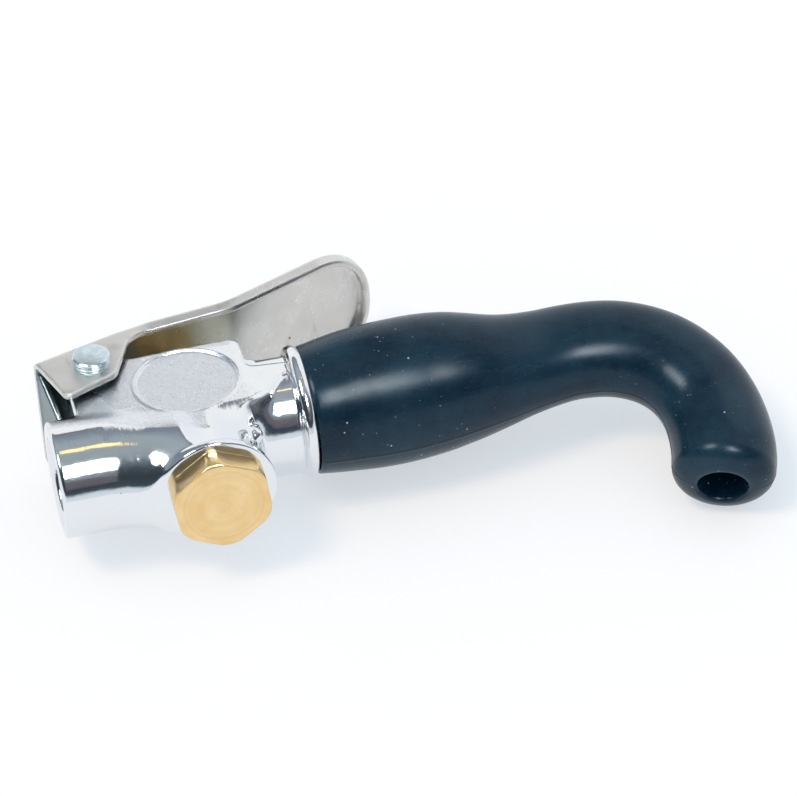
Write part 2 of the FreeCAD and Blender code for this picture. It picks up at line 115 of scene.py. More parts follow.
def arc_points(corners, steps=7):
    """A closed outline through corners (x, y, radius), with its corners rounded."""
    out = []
    for i, (x, y, r) in enumerate(corners):
        here = np.array([x, y])
        if r <= 0:
            out.append(here)
            continue
        back = unit(np.array(corners[i - 1][:2]) - here)
        ahead = unit(np.array(corners[(i + 1) % len(corners)][:2]) - here)
        half = math.acos(max(-1.0, min(1.0, float(back @ ahead)))) / 2
        centre = here + unit(back + ahead) * r / math.sin(half)
        start = here + back * r / math.tan(half) - centre
        end = here + ahead * r / math.tan(half) - centre
        turn = math.atan2(start[0] * end[1] - start[1] * end[0], start @ end)
        for k in range(steps + 1):
            a = turn * k / steps
            c, s = math.cos(a), math.sin(a)
            out.append(centre + np.array([c * start[0] - s * start[1], s * start[0] + c * start[1]]))
    return np.array(out)


def outline(x, y, points):
    """Signed distance to a closed outline in a plane."""
    best = np.full(np.broadcast(x, y).shape, 1e9)
    sign = np.ones(best.shape)
    for (ax, ay), (bx, by) in zip(points, np.roll(points, -1, 0)):
        ex, ey = bx - ax, by - ay
        wx, wy = x - ax, y - ay
        t = np.clip((wx * ex + wy * ey) / max(ex * ex + ey * ey, 1e-12), 0, 1)
        best = np.minimum(best, (wx - ex * t) ** 2 + (wy - ey * t) ** 2)
        above, below = y >= ay, y < by
        left = ex * wy > ey * wx
        flip = (above & below & left) | (~above & ~below & ~left)
        sign = np.where(flip, -sign, sign)
    return sign * np.sqrt(best)


def at_corner(values, start, size):
    """A grid's values at one corner of every cell."""
    return values[tuple(slice(s, s + n) for s, n in zip(start, size))]


def crossing_points(grid, active, size):
    """A point in each active cell: the mean of the places where the surface crosses its edges."""
    cells = np.argwhere(active)
    total = np.zeros((len(cells), 3))
    weight = np.zeros(len(cells))
    for axis in range(3):
        for j in (0, 1):
            for k in (0, 1):
                start = [j, k]
                start.insert(axis, 0)
                end = list(start)
                end[axis] = 1
                f0 = at_corner(grid, start, size)[active]
                f1 = at_corner(grid, end, size)[active]
                cross = (f0 < 0) != (f1 < 0)
                t = np.where(cross, f0 / np.where(cross, f0 - f1, 1), 0)
                found = np.array(start, float) + t[:, None] * np.eye(3)[axis]
                total += found * cross[:, None]
                weight += cross
    return cells + total / weight[:, None]


def crossing_quads(inside, index, size):
    """A quad round each grid edge that crosses the surface, through the four cells that share it."""
    quads = []
    for axis in range(3):
        near = [slice(1, n) for n in size]
        far = [slice(1, n) for n in size]
        near[axis] = slice(0, size[axis])
        far[axis] = slice(1, size[axis] + 1)
        first, second = inside[tuple(near)], inside[tuple(far)]
        u, v = [i for i in range(3) if i != axis]
        shift = np.ones(3, int)
        shift[axis] = 0
        for rising in (True, False):
            found = np.argwhere((first & ~second) if rising else (~first & second)) + shift
            ring = []
            for du, dv in ((1, 1), (0, 1), (0, 0), (1, 0)):
                cell = found.copy()
                cell[:, u] -= du
                cell[:, v] -= dv
                ring.append(index[cell[:, 0], cell[:, 1], cell[:, 2]])
            ring = np.stack(ring, 1)
            if rising == (axis == 1):
                ring = ring[:, ::-1]
            quads.append(ring)
    return np.concatenate(quads)


def settle(distance, points, quads, step, rounds=3):
    """Even the points out along the surface, and draw them on to it."""
    edges = np.concatenate([quads[:, [i, (i + 1) % 4]] for i in range(4)])
    for turn in range(rounds):
        if turn < rounds - 1:
            near = np.zeros_like(points)
            degree = np.zeros(len(points))
            for a, b in ((0, 1), (1, 0)):
                np.add.at(near, edges[:, a], points[edges[:, b]])
                np.add.at(degree, edges[:, a], 1)
            points = points * 0.5 + near / degree[:, None] * 0.5
        for _ in range(2):
            d, g = slope(distance, points)
            points -= np.clip(d, -step, step)[:, None] * g
    return points


def skin(name, distance, low, high, step):
    """A smooth quad mesh of the surface where a distance field is zero."""
    low = np.array(low, float)
    axes = [np.arange(a, b + step, step) for a, b in zip(low, high)]
    grid = distance((axes[0][:, None, None], axes[1][None, :, None], axes[2][None, None, :]))
    grid = np.broadcast_to(grid, [len(a) for a in axes]).astype(np.float32)
    size = [n - 1 for n in grid.shape]
    inside = grid < 0
    corners = [(i, j, k) for i in (0, 1) for j in (0, 1) for k in (0, 1)]
    count = sum(at_corner(inside, c, size).astype(np.int8) for c in corners)
    active = (count > 0) & (count < len(corners))
    index = np.full(active.shape, -1, np.int64)
    index[active] = np.arange(int(active.sum()))
    points = low + step * crossing_points(grid, active, size)
    quads = crossing_quads(inside, index, size)
    points = settle(distance, points, quads, step)
    return mesh(name, points * MM, quads.tolist())


def slope(distance, points, h=0.02):
    """Distance and its gradient, divided by its own square, at each point."""
    d = distance(tuple(points.T))
    g = np.zeros((len(points), 3))
    for axis, step in enumerate(np.eye(3) * h):
        g[:, axis] = distance(tuple((points + step).T)) - distance(tuple((points - step).T))
    g /= 2 * h
    return d, g / np.maximum((g * g).sum(1), 0.05)[:, None]


def mesh(name, points, faces, smooth=True):
    """A mesh object in the scene, from points in metres."""
    data = bpy.data.meshes.new(name)
    data.from_pydata([tuple(q) for q in points], [], faces)
    data.update()
    data.polygons.foreach_set("use_smooth", [smooth] * len(data.polygons))
    made = bpy.data.objects.new(name, data)
    scene.collection.objects.link(made)
    return made


def attribute(piece, name, values):
    """Store one number per vertex, for a material to read."""
    layer = piece.data.attributes.new(name, "FLOAT", "POINT")
    layer.data.foreach_set("value", np.asarray(values, np.float32))


def places(piece):
    """A piece's vertices, in millimetres."""
    return np.array([v.co for v in piece.data.vertices]) / MM


def ramp(low, high, x):
    """0 below low, 1 above high, and smooth between them."""
    t = np.clip((x - low) / (high - low), 0, 1)
    return t * t * (3 - 2 * t)


# The casting

# The web seen along Z: the ledge over the inlet, the lug for the lever, the shoulder, the plate's end on
# the neck, and the foot beside the chamber
LEDGE_X, LEDGE_Y = 0.6, 5.73
LUG_X, LUG_Y = 6.3, 25.04
SHOULDER_X, SHOULDER_Y = 43.6, 23.2
PLATE_X = 52.0
WEB_FOOT = -13.0
WEB_OUTLINE = arc_points([
    (LEDGE_X, 0.5, 0), (LEDGE_X, LEDGE_Y, 0.6), (LUG_X, LEDGE_Y, 0.8), (LUG_X, LUG_Y, 5.9),
    (16.5, LUG_Y, 4.0), (20.6, 22.9, 4.0), (SHOULDER_X, SHOULDER_Y, 2.3), (SHOULDER_X, 12.5, 1.5),
    (PLATE_X, 11.5, 0.5), (PLATE_X, 7.2, 0.5), (49.4, 6.4, 1.0), (46.6, 1.8, 2.5), (42.0, -1.6, 2.0),
    (41.7, WEB_FOOT, 0.5), (CHAMBER_X, WEB_FOOT, 0.5), (CHAMBER_X, -6.0, 0), (15.7, 0.0, 0)])
# The inlet's boss, the chamber's boss and its flange, the neck and the bead at its end
INLET_R = 11.0
INLET_END = 26.0
CHAMBER_R = 10.8
FLANK_R = 10.4
FLANGE_R = 12.1
NECK_R = 12.35
NECK_AXIS = (RISE + 1.2, -0.9)
BEAD_R = 13.9
BEAD_LOW, BEAD_HIGH = 51.35, 54.35
# The small round nub between the chamber and the neck
NUB = (41.2, -4.8, 5.8)
NUB_R = 1.6


def inlet_tube(p):
    """Round at the mouth. Towards the chamber its crest drops and its front tightens, with more below."""
    x, y, z = p
    crest = -6.3 * ramp(11, 33, x)
    height = 11.9 - 0.9 * ramp(9, 25, x)
    depth = 11.9 + 0.011 * np.clip(x - 8.5, 0, 12) ** 2 - 2.6 * ramp(13, 25, x)
    under = (0.008 * np.clip(x - 8, 0, 16) ** 2 + 0.6 * ramp(9, 20, x)) * (1 - ramp(-8, 3, z))
    across = np.where(y < crest, (crest - y) / (depth + under), (y - crest) / 13.0)
    round_part = (np.sqrt(across ** 2 + (z / height) ** 2) - 1) * INLET_R
    edge = 0.8
    return corner(round_part + edge, np.abs(x - INLET_END / 2) - INLET_END / 2 + edge) - edge


def web_plate(p):
    """The web is crowned a little, and its lower part falls away to the chamber's round flank."""
    x, y, z = p
    crown = (np.minimum(x - CHAMBER_X, 0) ** 2 + (y - 9) ** 2) / 2000
    flank = np.sqrt(np.maximum(FLANK_R ** 2 - np.maximum(x - CHAMBER_X, 0) ** 2, 4))
    top = flank + (WEB - crown - flank) * ramp(-9, 1.5, y)
    soft = 0.9 + 2.0 * ramp(31, 37, x) * (1 - ramp(0, 7, y))
    return corner(outline(x, y, WEB_OUTLINE) + soft, np.abs(z) - top + soft) - soft


def neck_tube(p):
    """Round below, and flat where the web's plate runs on to it. It stands out more at the back."""
    x, y, z = p
    flat = np.maximum(z, -z - 1.4 * ramp(42, 48, x)) - WEB + 0.35
    return trim(rod(p, 0, NECK_R, 32, 54, NECK_AXIS), flat, 0.8)


def casting_outside(p):
    x, y, z = p
    inlet = trim(inlet_tube(p), FLANGE_Y + 0.4 - y, 0.8)
    chamber = rod(p, 1, CHAMBER_R, FLANGE_Y, 6, (CHAMBER_X, 0))
    flange = rod(p, 1, FLANGE_R, FLANGE_Y, FLANGE_Y + 1.8, (CHAMBER_X, 0), 0.35)
    bead = rod(p, 0, BEAD_R, BEAD_LOW, BEAD_HIGH, (RISE + 0.4, 0.3), 1.48)
    shape = join(inlet, chamber, 6.0)
    shape = trim(shape, FLANGE_Y + 0.3 - y, 0.3)
    shape = join(shape, flange, 0.9)
    shape = join(shape, web_plate(p), 0.7)
    low_fillet = 2.5 * (1 - ramp(-2, 2, y))
    shoulder_fillet = 3.0 * ramp(12.5, 15.5, y) * ramp(42.5, 45, x)
    shape = join(shape, neck_tube(p), 0.3 + low_fillet + shoulder_fillet)
    return join(shape, bead, 0.4)


def from_recess(x, y):
    """How far a point is from the round recess's middle."""
    return np.sqrt((x - RECESS[0]) ** 2 + (y - RECESS[1]) ** 2)


def inlet_thread(x, y, z):
    """The depth of a spiral groove that runs out at both ends."""
    pitch = 1.337
    thread = 0.42 * np.abs(((x / pitch - np.arctan2(z, y) / (2 * np.pi)) % 1.0) * 2 - 1)
    return thread * (1 - ramp(11.5, 12.5, x)) * ramp(0.2, 1.4, x)


def casting_bores(p):
    """Each bore with the rounding of its edge: along X, along the chamber's axis, and for the rivet."""
    inlet, gallery, outlet = (0, 0), (-2.6, 0), (RISE, 0)
    edge = 0.1
    bores = [(rod(p, 0, 8.2, -3, 13, inlet, edge) + inlet_thread(*p), 0.5)]
    for r, low, high, axis, round_over in (
            (9.0, -3, 0.4, inlet, 0.4), (7.5, 12, 14.8, inlet, 0.3), (4.0, 13.8, CHAMBER_X, gallery, 0.3)):
        bores.append((rod(p, 0, r, low, high, axis, edge), round_over))
    for r, low, high, round_over in (
            (8.0, FLANGE_Y - 2, 2.0, 0.3), (9.04, FLANGE_Y - 2, FLANGE_Y + 0.95, 0.3), (6.44, 1, 4.2, 0.3),
            (4.9, 2, 12.4, 0.3), (2.6, 11, 22, 0.3), (4.44, 13.4, 22, 0.3), (5.24, 15.2, 24, 0.4)):
        bores.append((rod(p, 1, r, low, high, (CHAMBER_X, 0), edge), round_over))
    for r, low, high in ((3.3, CHAMBER_X, 54), (7.04, 45.1, 58)):
        bores.append((rod(p, 0, r, low, high, outlet, edge), 0.3))
    bores.append((rod(p, 2, RIVET_HOLE, -14, 14, PIVOT, edge), 0.3))
    return bores


def casting(p):
    x, y, z = p
    shape = casting_outside(p)
    lip = np.sqrt((from_recess(x, y) - RECESS_R - 0.4) ** 2 + (z - WEB + 0.22) ** 2) - 0.32
    shape = join(shape, lip, 0.3)
    nub = np.sqrt((x - NUB[0]) ** 2 + (y - NUB[1]) ** 2 + (z - NUB[2]) ** 2) - NUB_R
    shape = join(shape, nub, 1.4)
    for bore, round_over in casting_bores(p):
        shape = trim(shape, -bore, round_over)
    recess = rod(p, 2, RECESS_R, WEB - 0.45, WEB + 3, RECESS)
    return trim(shape, -recess, 0.4)


# The lever, a folded sheet

def direction(degrees):
    """The unit vector at an angle from +X towards +Y."""
    return np.array([math.cos(math.radians(degrees)), math.sin(math.radians(degrees))])


def turned(d):
    """A direction turned a quarter, from +X to +Y."""
    return np.array([-d[1], d[0]])


def crossing(a, da, b, db):
    """Where the line through a along da meets the line through b along db."""
    k = ((b[0] - a[0]) * db[1] - (b[1] - a[1]) * db[0]) / (da[0] * db[1] - da[1] * db[0])
    return a + da * k


# The sheet's thickness and the lever's half width
SHEET = 1.5
HALF = 13.4
# The spine has three straight runs, from the heel to the spoon's tip, which meet at these places along X
HEEL_DIR, MIDDLE_DIR, SPOON_DIR = direction(17.5), direction(8.1), direction(23.6)
BEND_1_X, BEND_2_X, TIP_X = 19.4, 43.2, 75.5
UPRIGHT = np.array([0.0, 1.0])
HEEL_UP = turned(HEEL_DIR)
SPINE_OVER_PIVOT = 8.7
HEEL = np.array(PIVOT) - HEEL_DIR * 9.4 + HEEL_UP * SPINE_OVER_PIVOT
BEND_1 = crossing(HEEL, HEEL_DIR, np.array([BEND_1_X, 0.0]), UPRIGHT)
BEND_2 = crossing(BEND_1, MIDDLE_DIR, np.array([BEND_2_X, 0.0]), UPRIGHT)
TIP = crossing(BEND_2, SPOON_DIR, np.array([TIP_X, 0.0]), UPRIGHT)
# How far the tongue at the heel hangs below the spine
TONGUE = SPINE_OVER_PIVOT + 2.75
# The regions' outer sides lie this far out
FAR = 70.0


def lever_outlines():
    """The region under the lever's spine, and the region above its cheeks and rim."""
    past_tip = TIP + SPOON_DIR * 20
    past_heel = HEEL - HEEL_DIR * 20
    spoon_up = turned(SPOON_DIR)
    spoon_bend = 14.0
    under = arc_points([
        (*past_heel, 0), (*BEND_1, 18.0), (*BEND_2, spoon_bend), (*past_tip, 0),
        (*(past_tip - spoon_up * FAR), 0), (*(past_heel - HEEL_UP * FAR), 0)], 10)
    rim = 3.1
    rim_line = BEND_2 - turned(MIDDLE_DIR) * rim
    rim_bend = crossing(rim_line, MIDDLE_DIR, TIP - spoon_up * rim, SPOON_DIR)
    cheek = np.array([16.6, 14.85])
    cheek_low, cheek_throat = direction(24), direction(67.5)
    above = arc_points([
        (*(HEEL + HEEL_UP * FAR), 0), (*(past_tip + spoon_up * FAR), 0),
        (*(past_tip - spoon_up * rim), 0), (*rim_bend, spoon_bend + rim),
        (*crossing(cheek, cheek_throat, rim_line, MIDDLE_DIR), 6.0), (*cheek, 3.2),
        (*crossing(cheek, cheek_low, HEEL, HEEL_UP), 1.4)], 10)
    return under, above


UNDER, ABOVE = lever_outlines()


def lever_solid(x, y, z):
    """The lever as if it were filled: a round-ended bar with a dished spoon and a leaning rim."""
    along = (x - TIP[0]) * SPOON_DIR[0] + (y - TIP[1]) * SPOON_DIR[1] + HALF
    power = 2.25
    round_end = (np.maximum(along, 1e-6) ** power + np.abs(z) ** power) ** (1 / power)
    wide = np.where(along > 0, round_end, np.abs(z)) - HALF
    dish = 1.6 * ramp(46, 62, x) * (1 - np.minimum(wide / HALF + 1, 1) ** 2)
    depth = outline(x, y, UNDER) - dish
    past_cheeks = ramp(20, 27, x)
    bend = 2.2 - 1.1 * past_cheeks
    lean = 0.13 * past_cheeks
    return corner(depth + bend, wide - lean * depth + bend) - bend


def heel_tongue(x, y, z):
    """The tongue that is folded down at the heel and narrows to its tip."""
    back = (x - HEEL[0]) * HEEL_DIR[0] + (y - HEEL[1]) * HEEL_DIR[1]
    down = -((x - HEEL[0]) * HEEL_UP[0] + (y - HEEL[1]) * HEEL_UP[1])
    width = np.minimum(HALF - 1.7, np.maximum((TONGUE - down) * 1.02 + 0.9, 0.5))
    tongue = trim(np.abs(back - SHEET / 2) - SHEET / 2, (np.abs(z) - width) * 0.72, 0.5)
    return trim(tongue, down - TONGUE, 0.9)


def lever_plate(p):
    x, y, z = p
    outer = lever_solid(x, y, z)
    shape = trim(outer, -(outer + SHEET), 0.35)
    shape = trim(shape, outline(x, y, ABOVE), 0.5)
    shape = join(shape, trim(heel_tongue(x, y, z), outer, 1.6), 0.8)
    return trim(shape, -rod(p, 2, RIVET_HOLE, -20, 20, PIVOT, 0.05), 0.2)


# The brass cap: a chamfered hexagon with a hollow barrel that screws into the chamber

CAP_FACE, CAP_SEAT = -18.36, FLANGE_Y
CAP_TURN = 5.6
CAP_APOTHEM = 9.62


def brass_cap(p):
    x, y, z = p
    radial = np.sqrt((x - CHAMBER_X) ** 2 + z ** 2)
    head = None
    for k in range(3):
        a = math.radians(CAP_TURN + 60 * k)
        flats = np.abs((x - CHAMBER_X) * math.cos(a) + z * math.sin(a)) - CAP_APOTHEM
        head = flats if head is None else trim(head, flats, 0.35)
    middle = (CAP_FACE + CAP_SEAT) / 2
    head = trim(head, np.abs(y - middle) - (CAP_SEAT - CAP_FACE) / 2, 0.25)
    head = trim(head, radial - 10.5, 0.3)
    slope_along, slant = 0.8, 1.28
    cone = (radial - 10.05 - (y - CAP_FACE) * slope_along) / slant
    head = trim(head, cone, 0.3)
    shape = join(head, rod(p, 1, 7.96, -14.6, -7.6, (CHAMBER_X, 0)), 0.3)
    return trim(shape, -rod(p, 1, 5.4, -14.7, -5, (CHAMBER_X, 0), 0.2), 0.3)


def lathe(name, profile, centre, axis, segments=96):
    """A turned piece from profile points (along, radius)."""
    out = np.array(axis, float)
    side = np.array([1.0, 0, 0]) if abs(out[0]) < 0.5 else np.array([0, 1.0, 0])
    other = np.cross(out, side)
    points, faces = [], []
    for a, r in profile:
        for k in range(segments):
            t = 2 * math.pi * k / segments
            points.append(np.array(centre) + out * a + (side * math.cos(t) + other * math.sin(t)) * r)
    rows = len(profile)
    for i in range(rows - 1):
        for k in range(segments):
            m = (k + 1) % segments
            here, above = i * segments, (i + 1) * segments
            faces.append([here + k, here + m, above + m, above + k])
    faces.append([k for k in range(segments)][::-1])
    faces.append([(rows - 1) * segments + k for k in range(segments)])
    return mesh(name, np.array(points) * MM, faces)


def round_profile(corners, steps=5):
    """A turned profile through corners (along, radius, rounding), open at both ends."""
    out = []
    for i, (a, r, q) in enumerate(corners):
        here = np.array([a, r], float)
        if q <= 0 or i in (0, len(corners) - 1):
            out.append(here)
            continue
        back = unit(np.array(corners[i - 1][:2]) - here)
        ahead = unit(np.array(corners[i + 1][:2]) - here)
        half = math.acos(max(-1.0, min(1.0, float(back @ ahead)))) / 2
        reach = q / math.tan(half)
        for k in range(steps + 1):
            t = k / steps
            p0, p1, p2 = here + back * reach, here, here + ahead * reach
            out.append(p0 * (1 - t) ** 2 + 2 * p1 * t * (1 - t) + p2 * t * t)
    return out


# The rubber spout, a tube on a curve that lies in a plane turned about X

TWIST = math.radians(21)
# The curve's points from the neck's end, as (along X, up in the turned plane, outer radius)
SPOUT = [
    (0.9, 0.28, 13.42), (5.9, 0.5, 14.15), (10.9, 0.75, 14.75), (15.9, 0.85, 15.05), (21.0, 1.0, 15.1),
    (26.1, 1.25, 14.9), (31.1, 1.35, 14.35), (36.2, 1.3, 13.35), (41.3, 1.4, 12.1), (46.4, 1.75, 10.95),
    (51.5, 2.15, 10.25), (56.6, 2.5, 10.0), (61.7, 2.3, 10.0), (66.7, 1.4, 10.05), (71.4, -0.5, 10.1),
    (75.5, -3.3, 10.15), (78.9, -7.1, 10.2), (81.4, -11.8, 10.35), (82.8, -17.2, 10.5), (83.1, -23.0, 10.7),
    (82.5, -28.6, 10.85), (81.2, -33.0, 10.7)]
MOUTH = (80.0, -36.6)
# The grip's front rim and the nipple's socket, as (along, up, radius)
FRONT_RIM = [(0.45, 0.25, 12.6), (0.5, 0.25, 13.1), (0.7, 0.27, 13.35)]
SOCKET = [(33.2, 1.3, 8.7), (20, 1.0, 8.7), (3.0, 0.3, 8.7), (1.7, 0.2, 9.0)]
# The mouth's lip, as (distance past the curve's last point, radius)
LIP = [(1.3, 10.25), (2.2, 9.55), (2.95, 8.6), (3.45, 7.5), (3.75, 6.4), (3.8, 5.7), (3.6, 5.3), (2.9, 5.2)]
SOCKET_HEAD = (1, 0.04)
SOCKET_END = 33.5
BORE_R = 5.2
SEAM_HEIGHT = 0.11


def smooth_line(rows, count):
    """Points along a smooth line through rows, by Catmull and Rom's rule."""
    rows = np.array(rows, float)
    padded = np.vstack([2 * rows[0] - rows[1], rows, 2 * rows[-1] - rows[-2]])
    out = []
    for t in np.linspace(0, len(rows) - 1, count):
        i = min(int(t), len(rows) - 2)
        f = t - i
        a, b, c, d = padded[i:i + 4]
        square = 2 * a - 5 * b + 4 * c - d
        cube = 3 * b - a - 3 * c + d
        out.append(0.5 * (2 * b + (c - a) * f + square * f * f + cube * f ** 3))
    return np.array(out)


def headings(points):
    """The direction of a line at each of its points."""
    last = len(points) - 1
    return np.array([unit(points[min(i + 1, last)] - points[max(i - 1, 0)]) for i in range(last + 1)])


def spout_rows():
    """The tube's row centres, radii and headings, and how many rows are outside.

    They go from the grip's front rim over the outside to the mouth's lip, and back through the bore
    and the nipple's socket.
    """
    line = smooth_line(SPOUT, 150)
    centre, radius = line[:, :2], line[:, 2]
    to_mouth = unit(np.array(MOUTH) - centre[-1])
    deep = line[:, 0] > SOCKET_END
    front, lip, socket = np.array(FRONT_RIM), np.array(LIP), np.array(SOCKET)
    parts = [
        (front[:, :2], front[:, 2], np.tile(SOCKET_HEAD, (len(front), 1))),
        (centre[1:], radius[1:], headings(centre[1:])),
        (centre[-1] + to_mouth * lip[:, :1], lip[:, 1], np.tile(to_mouth, (len(lip), 1))),
        (centre[deep][::-1], np.full(deep.sum(), BORE_R), headings(centre)[deep][::-1]),
        (socket[:, :2], socket[:, 2], np.tile(SOCKET_HEAD, (len(socket), 1)))]
    outside = sum(len(radii) for centres, radii, heads in parts[:3])
    centres, radii, heads = [np.concatenate(column) for column in zip(*parts)]
    return centres, radii, heads, outside


def section_angles():
    """Angles round the tube, closer together at the two mould seams, and a 1 at each seam."""
    seam = 0.35 / 15
    half = [0.0, seam, 2.4 * seam, *np.linspace(4.5 * seam, math.pi - 4.5 * seam, 70)]
    half += [math.pi - 2.4 * seam, math.pi - seam, math.pi]
    angles = np.array(half + [2 * math.pi - a for a in half[-2:0:-1]])
    at_seam = np.zeros(len(angles))
    at_seam[[0, len(half) - 1]] = 1.0
    return angles, at_seam


def in_space(v):
    """A vector of the spout's plane, turned with the plane about X."""
    return np.array([v[0], v[1] * math.cos(TWIST), v[1] * math.sin(TWIST)])


def flattened(r, along, up, heading, out):
    """The radius of the outside's section, which isn't quite round.

    The grip is a little slimmer towards the camera, and the throat is flatter square to the table.
    The second keeps the outline that the camera sees.
    """
    near, tall = np.array(TO_CAMERA), np.array(TABLE)
    rim = unit(np.cross(heading, near))
    slim = 0.065 * ramp(1, 12, along) * (1 - ramp(24, 40, along))
    squash = 0.155 * ramp(36, 52, along) * ramp(-30, -12, up)
    r = r * (1 - slim * (out @ near) ** 2)
    return r * (1 - squash * (out @ tall) ** 2) / (1 - squash * (rim @ tall) ** 2)


def spout():
    centres, radii, heads, outside = spout_rows()
    angles, at_seam = section_angles()
    beside = np.array([0.0, -math.sin(TWIST), math.cos(TWIST)])
    start = np.array([BODY, RISE, 0.0])
    points = []
    for i, ((along, up), r, head) in enumerate(zip(centres, radii, heads)):
        out = np.cos(angles)[:, None] * in_space(turned(head)) + np.sin(angles)[:, None] * beside
        if i < outside:
            r = flattened(r, along, up, in_space(head), out)
        if len(FRONT_RIM) <= i < outside - 3:
            r = r + at_seam * SEAM_HEIGHT
        points.append(start + in_space((along, up)) + out * np.reshape(r, (-1, 1)))
    rows, n = len(centres), len(angles)
    faces = []
    for i in range(rows):
        here, after = i * n, (i + 1) % rows * n
        for k in range(n):
            m = (k + 1) % n
            faces.append([here + k, here + m, after + m, after + k])
    made = mesh("spout_rubber", np.concatenate(points) * MM, faces)
    attribute(made, "seam", np.tile(at_seam, rows))
    return made


# Materials

class Nodes:
    """A short way to write nodes into a tree."""

    def __init__(self, tree):
        self.tree = tree

    def add(self, kind, inputs=None, **settings):
        node = self.tree.nodes.new(kind)
        for key, value in settings.items():
            setattr(node, key, value)
        for key, value in (inputs or {}).items():
            self.put(node, key, value)
        return node

    def put(self, node, key, value):
        socket = node.inputs[key]
        if isinstance(value, bpy.types.NodeSocket):
            self.tree.links.new(value, socket)
        elif isinstance(value, bpy.types.Node):
            self.tree.links.new(value.outputs[0], socket)
        else:
            socket.default_value = value

    def place(self):
        return self.add("ShaderNodeTexCoord").outputs["Object"]

    def noise(self, scale, detail=3.0, rough=0.5, stretch=None):
        where = self.place()
        if stretch:
            where = self.add("ShaderNodeMapping", {"Vector": where, "Scale": stretch}).outputs[0]
        inputs = {"Vector": where, "Scale": scale, "Detail": detail, "Roughness": rough}
        return self.add("ShaderNodeTexNoise", inputs).outputs["Fac"]

    def line_noise(self, along, scale, detail):
        """Noise that varies with one number only."""
        inputs = {"W": self.math("MULTIPLY", along, scale), "Scale": 1.0, "Detail": detail}
        return self.add("ShaderNodeTexNoise", inputs, noise_dimensions="1D").outputs["Fac"]

    def cells(self, scale):
        """The distance to the nearest of many scattered points."""
        inputs = {"Vector": self.place(), "Scale": scale, "Randomness": 1.0}
        return self.add("ShaderNodeTexVoronoi", inputs).outputs["Distance"]

    def stored(self, name):
        """A number stored on the mesh."""
        return self.add("ShaderNodeAttribute", attribute_name=name).outputs["Fac"]

    def remap(self, value, low, high, out_low=0.0, out_high=1.0):
        inputs = {"Value": value, "From Min": low, "From Max": high, "To Min": out_low, "To Max": out_high}
        return self.add("ShaderNodeMapRange", inputs).outputs[0]

    def math(self, how, a, b=0.0):
        node = self.add("ShaderNodeMath", operation=how)
        self.put(node, 0, a)
        self.put(node, 1, b)
        return node.outputs[0]

    def mix(self, share, a, b):
        node = self.add("ShaderNodeMix", data_type="RGBA")
        self.put(node, 0, share)
        self.put(node, 6, a)
        self.put(node, 7, b)
        return node.outputs[2]

    def bump(self, height, distance, strength=1.0, under=None):
        node = self.add("ShaderNodeBump", {"Height": height, "Distance": distance, "Strength": strength})
        if under is not None:
            self.put(node, "Normal", under)
        return node.outputs[0]


class Surface(Nodes):
    """The nodes of a new material, round its own shader."""

    def __init__(self, name):
        self.material = bpy.data.materials.new(name)
        self.material.use_nodes = True
        super().__init__(self.material.node_tree)
        self.shader = self.tree.nodes["Principled BSDF"]

    def set(self, **values):
        for key, value in values.items():
            self.put(self.shader, key.replace("_", " "), value)
        return self.material


def rgb(r, g, b):
    return (r, g, b, 1.0)


def chrome_casting():
    """Polished chrome with fine marks and a few pits, and a sand-cast skin where "sand" says so."""
    m = Surface("chrome_casting")
    sand = m.stored("sand")
    skin_stretch = (1.0, 0.62, 0.8)
    grain = m.noise(2600, 3.0, 0.6, skin_stretch)
    lumps = m.noise(1300, 2.0, 0.6, skin_stretch)
    wave = m.noise(260, 2.0, 0.5)
    marks = m.noise(330, 3.0, 0.65, (5.0, 1.0, 1.0))
    clean = m.remap(sand, 0.0, 0.5, 1.0, 0.0)
    pit = m.math("MULTIPLY", m.remap(m.cells(520.0), 0.10, 0.04), m.remap(m.noise(90), 0.60, 0.66))
    normal = m.bump(wave, 0.00006)
    normal = m.bump(marks, 0.000016, clean, normal)
    normal = m.bump(m.math("ADD", grain, m.math("MULTIPLY", lumps, 0.6)), 0.00005, sand, normal)
    normal = m.bump(m.math("MULTIPLY", pit, -1.0), 0.00012, 1.0, normal)
    cast = m.mix(m.remap(lumps, 0.35, 0.7), rgb(0.88, 0.90, 0.93), rgb(0.79, 0.82, 0.86))
    colour = m.mix(sand, rgb(0.86, 0.88, 0.90), cast)
    colour = m.mix(pit, colour, rgb(0.06, 0.06, 0.06))
    polish = m.remap(m.noise(700, 4.0), 0.3, 0.8, 0.07, 0.13)
    roughness = m.math("ADD", polish, m.math("MULTIPLY", sand, 0.20))
    return m.set(Base_Color=colour, Metallic=1.0, Roughness=roughness, Normal=normal)


